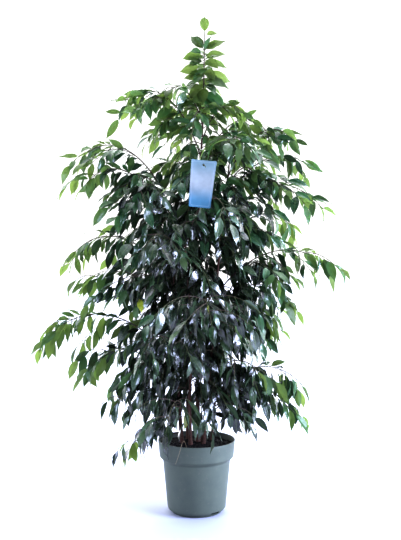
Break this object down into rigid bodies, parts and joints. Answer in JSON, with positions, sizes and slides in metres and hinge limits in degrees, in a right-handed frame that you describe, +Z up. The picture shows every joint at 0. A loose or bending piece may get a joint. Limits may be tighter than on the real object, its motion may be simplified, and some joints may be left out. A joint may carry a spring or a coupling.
{
  "type": "potted weeping fig",
  "caption": "Weeping fig with slender stems, arching drooping branches and pointed glossy leaves, standing in a round nursery pot of soil, with a plain hanging card.",
  "frame": {"origin": "middle of the pot's underside, on the surface that the pot stands on", "axes": "+Z up along the plant, -Y towards the viewer of the front, +X to the viewer's right"},
  "size_m": [0.972, 0.8408, 1.5424],
  "materials": {
    "pot": "grey-green injection-moulded polypropylene, satin, with fine moulding lines",
    "soil": "dark crumbly peat potting soil",
    "bark": "thin reddish-brown bark with pale pores, smooth and dull",
    "outer_leaf": "glossy mid-green leaf with a pale midrib, younger and lighter at the tips",
    "inner_leaf": "glossy dark-green leaf with a pale midrib",
    "young_leaf": "soft light-green young leaf and green shoot, satin",
    "card": "smooth coated card in pale blue shades, without print"
  },
  "bodies": {
    "root": {"pot": "pot", "soil": "soil", "stem_leader": "bark", "stem_left": "bark", "stem_right": "bark", "stem_front": "bark", "stem_back": "bark", "stem_slim": "bark", "card": "card", "top_shoot": "young_leaf", "branch_01": "outer_leaf", "branch_02": "outer_leaf", "branch_03": "outer_leaf", "branch_04": "outer_leaf", "branch_05": "outer_leaf", "branch_06": "outer_leaf", "branch_07": "outer_leaf", "branch_08": "outer_leaf", "branch_09": "outer_leaf", "branch_10": "outer_leaf", "branch_11": "outer_leaf", "branch_12": "outer_leaf", "branch_13": "outer_leaf", "branch_14": "outer_leaf", "branch_15": "outer_leaf", "branch_16": "outer_leaf", "branch_17": "outer_leaf", "branch_18": "outer_leaf", "branch_19": "outer_leaf", "branch_20": "outer_leaf", "branch_21": "outer_leaf", "branch_22": "outer_leaf", "branch_23": "outer_leaf", "branch_24": "outer_leaf", "branch_25": "inner_leaf", "branch_26": "inner_leaf", "branch_27": "inner_leaf", "branch_28": "inner_leaf", "branch_29": "inner_leaf", "branch_30": "inner_leaf", "branch_31": "inner_leaf", "branch_32": "inner_leaf", "branch_33": "inner_leaf", "branch_34": "inner_leaf", "branch_35": "inner_leaf", "branch_36": "inner_leaf", "branch_37": "inner_leaf", "branch_38": "inner_leaf", "branch_39": "inner_leaf", "branch_40": "inner_leaf", "branch_41": "inner_leaf", "branch_42": "inner_leaf", "branch_43": "inner_leaf", "branch_44": "inner_leaf", "branch_45": "inner_leaf", "branch_46": "inner_leaf", "branch_47": "inner_leaf", "branch_48": "inner_leaf", "branch_49": "inner_leaf", "branch_50": "inner_leaf"}
  },
  "joints": []
}
